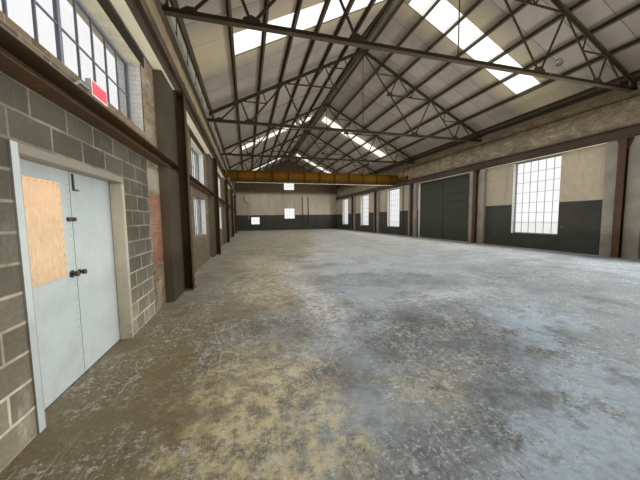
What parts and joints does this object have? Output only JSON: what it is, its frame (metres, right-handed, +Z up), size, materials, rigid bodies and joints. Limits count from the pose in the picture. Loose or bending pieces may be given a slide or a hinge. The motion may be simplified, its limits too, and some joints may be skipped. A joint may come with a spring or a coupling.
{
  "type": "factory building",
  "caption": "Long single-storey factory hall with brick and block walls, a pitched roof on steel trusses and a travelling crane bridge.",
  "frame": {"origin": "middle of the plan at the underside of the floor slab", "axes": "+Y along the hall towards the rear gable, +X towards the wall with the big door, +Z up; the double door is near the front end of the wall at -X"},
  "size_m": [15.186, 37.81, 9.7752],
  "materials": {
    "slab_concrete": "worn and stained",
    "concrete_block": "rough",
    "brick": "rough",
    "painted_brick": "worn matt paint",
    "cast_concrete": "matt",
    "dark_steel": "worn matt paint",
    "window_steel": "worn matt paint",
    "glass": "dusty",
    "big_door_steel": "worn matt paint",
    "frame_paint": "satin paint",
    "leaf_paint": "satin paint",
    "plywood": "matt",
    "fitting_steel": "satin",
    "box_plastic": "satin",
    "roof_steel": "weathered",
    "rooflight_sheet": "translucent",
    "runway_steel": "worn matt paint",
    "rail_steel": "worn",
    "crane_paint": "worn satin paint"
  },
  "bodies": {
    "building": {"floor_slab": "slab_concrete", "left_block_wall_near": "concrete_block", "left_block_wall_far": "concrete_block", "left_block_lintel": "concrete_block", "left_lower_wall": "brick", "left_upper_wall": "brick", "right_upper_wall": "brick", "front_gable_wall": "brick", "right_lower_wall_front": "painted_brick", "right_lower_wall_rear": "painted_brick", "rear_gable_wall": "painted_brick", "right_door_lintel": "cast_concrete", "left_piers": "cast_concrete", "right_piers": "cast_concrete", "window_lintels": "cast_concrete", "wall_plates": "dark_steel", "columns": "dark_steel", "left_girt": "dark_steel", "left_sashes": "window_steel", "right_sashes": "window_steel", "gable_sashes": "window_steel", "left_glass": "glass", "right_glass": "glass", "gable_glass": "glass", "big_door": "big_door_steel", "door_frame": "frame_paint", "exit_box": "box_plastic", "truss_1": "dark_steel", "truss_2": "dark_steel", "truss_3": "dark_steel", "truss_4": "dark_steel", "truss_5": "dark_steel", "purlins": "dark_steel", "eave_struts": "dark_steel", "roof_sheets_left": "roof_steel", "roof_sheets_right": "roof_steel", "rooflights": "rooflight_sheet", "ridge_cap": "roof_steel", "runway_beams": "runway_steel", "crane_rails": "rail_steel"},
    "near_leaf": {"door_leaf_near": "leaf_paint", "door_panel": "plywood", "near_leaf_fittings": "fitting_steel"},
    "far_leaf": {"door_leaf_far": "leaf_paint", "far_leaf_fittings": "fitting_steel"},
    "crane_bridge": {"bridge_girder": "crane_paint", "end_carriages": "crane_paint", "bridge_wheels": "rail_steel"}
  },
  "joints": [
    {"name": "near_leaf_hinge", "type": "hinge", "parent": "building", "child": "near_leaf", "pos_m": [-7.123, -15.994, 1.1], "axis": [0, 0, 1], "range_deg": [0, 100]},
    {"name": "far_leaf_hinge", "type": "hinge", "parent": "building", "child": "far_leaf", "pos_m": [-7.123, -14.486, 1.1], "axis": [0, 0, -1], "range_deg": [0, 100]},
    {"name": "bridge_travel", "type": "slide", "parent": "building", "child": "crane_bridge", "axis": [0, 1, 0], "range_m": [-19, 15]}
  ]
}
